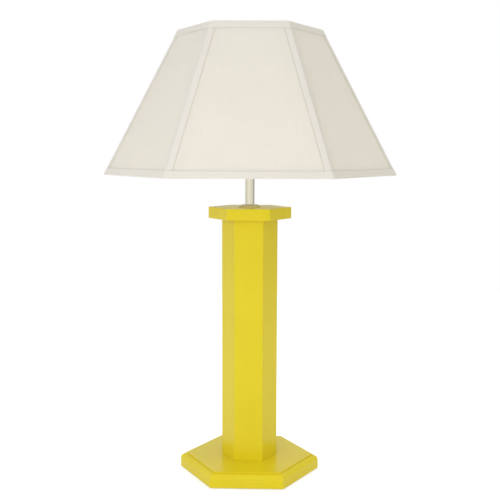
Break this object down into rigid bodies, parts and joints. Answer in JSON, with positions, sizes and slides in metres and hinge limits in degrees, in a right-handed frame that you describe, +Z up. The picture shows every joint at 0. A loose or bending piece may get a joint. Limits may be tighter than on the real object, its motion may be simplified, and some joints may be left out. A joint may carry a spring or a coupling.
{
  "type": "table lamp",
  "caption": "Table lamp with a painted hexagonal column stand and a hexagonal fabric shade that turns, tilts and lifts off its wire carrier.",
  "frame": {"origin": "centre of the lamp's footprint, on the surface that it stands on", "axes": "+Z up along the stem; +X through a corner of the stand's hexagons; -Y out of the front flat, with the cord's inlet at the back on +Y"},
  "size_m": [0.4082, 0.3592, 0.6183],
  "materials": {
    "yellow_lacquer": "satin lacquer over smoothed wood",
    "bare_wood": "unfinished",
    "felt": "pressed felt",
    "cast_iron": "rough cast, painted",
    "bush_plastic": "moulded",
    "zinc_steel": "zinc plated",
    "polished_nickel": "polished",
    "grub_steel": "blackened",
    "brass_contact": "turned",
    "moulded_insulator": "moulded phenolic",
    "button_plastic": "moulded",
    "carrier_steel": "plated, formed wire and sheet",
    "coated_wire": "white coating",
    "shade_fabric": "fine woven cloth on a stiff backing",
    "shade_tape": "folded cloth tape"
  },
  "bodies": {
    "stand": {"felt_pad": "felt", "base_cover": "bare_wood", "cover_screws": "zinc_steel", "base_weight": "cast_iron", "cord_bush": "bush_plastic", "plinth": "yellow_lacquer", "column_stave_1": "yellow_lacquer", "column_stave_2": "yellow_lacquer", "column_stave_3": "yellow_lacquer", "column_stave_4": "yellow_lacquer", "column_stave_5": "yellow_lacquer", "column_stave_6": "yellow_lacquer", "column_foot_block": "bare_wood", "column_head_block": "bare_wood", "plinth_dowels": "bare_wood", "cap_dowels": "bare_wood", "cap_plate": "yellow_lacquer", "threaded_rod": "zinc_steel", "lower_washer": "zinc_steel", "lower_nut": "zinc_steel", "upper_washer": "zinc_steel", "upper_nut": "zinc_steel", "stem_flange": "polished_nickel", "stem_sleeve": "polished_nickel", "holder_cap": "polished_nickel", "holder_grub_screw": "grub_steel", "insulator": "moulded_insulator", "terminal_screws": "brass_contact", "plunger_spring_left": "zinc_steel", "plunger_spring_right": "zinc_steel", "socket_barrel": "polished_nickel", "socket_skirt": "polished_nickel"},
    "contact_left": {"plunger_left": "brass_contact"},
    "contact_right": {"plunger_right": "brass_contact"},
    "switch": {"switch_bar": "brass_contact", "switch_buttons": "button_plastic"},
    "clamp_ring": {"shade_ring": "polished_nickel"},
    "carrier": {"carrier_harp": "carrier_steel", "gimbal_pins": "carrier_steel"},
    "gimbal": {"gimbal_ring": "carrier_steel"},
    "shade": {"shade_spider": "coated_wire", "shade_top_ring": "coated_wire", "shade_bottom_ring": "coated_wire", "shade_ribs": "coated_wire", "shade_panel_1": "shade_fabric", "shade_panel_2": "shade_fabric", "shade_panel_3": "shade_fabric", "shade_panel_4": "shade_fabric", "shade_panel_5": "shade_fabric", "shade_panel_6": "shade_fabric", "corner_tape_1": "shade_tape", "corner_tape_2": "shade_tape", "corner_tape_3": "shade_tape", "corner_tape_4": "shade_tape", "corner_tape_5": "shade_tape", "corner_tape_6": "shade_tape", "top_binding": "shade_tape", "bottom_binding": "shade_tape"}
  },
  "joints": [
    {"name": "carrier_turn", "type": "hinge", "parent": "stand", "child": "carrier", "pos_m": [0, 0, 0.4739], "axis": [0, 0, 1], "continuous": true},
    {"name": "shade_tilt", "type": "hinge", "parent": "carrier", "child": "gimbal", "pos_m": [0, 0, 0.593], "axis": [0, 1, 0], "range_deg": [-15, 15]},
    {"name": "shade_lift", "type": "slide", "parent": "gimbal", "child": "shade", "axis": [0, 0, 1], "range_m": [0, 0.19]},
    {"name": "ring_turn", "type": "hinge", "parent": "stand", "child": "clamp_ring", "pos_m": [0, 0, 0.4754], "axis": [0, 0, 1], "continuous": true},
    {"name": "switch_push", "type": "slide", "parent": "stand", "child": "switch", "axis": [0, 1, 0], "range_m": [0, 0.006]},
    {"name": "contact_left_press", "type": "slide", "parent": "stand", "child": "contact_left", "axis": [0, 0, -1], "range_m": [0, 0.0055], "stiffness_N_per_m": 600, "springref_m": -0.002, "deforming": ["plunger_spring_left"]},
    {"name": "contact_right_press", "type": "slide", "parent": "stand", "child": "contact_right", "axis": [0, 0, -1], "range_m": [0, 0.0055], "stiffness_N_per_m": 600, "springref_m": -0.002, "deforming": ["plunger_spring_right"]}
  ]
}
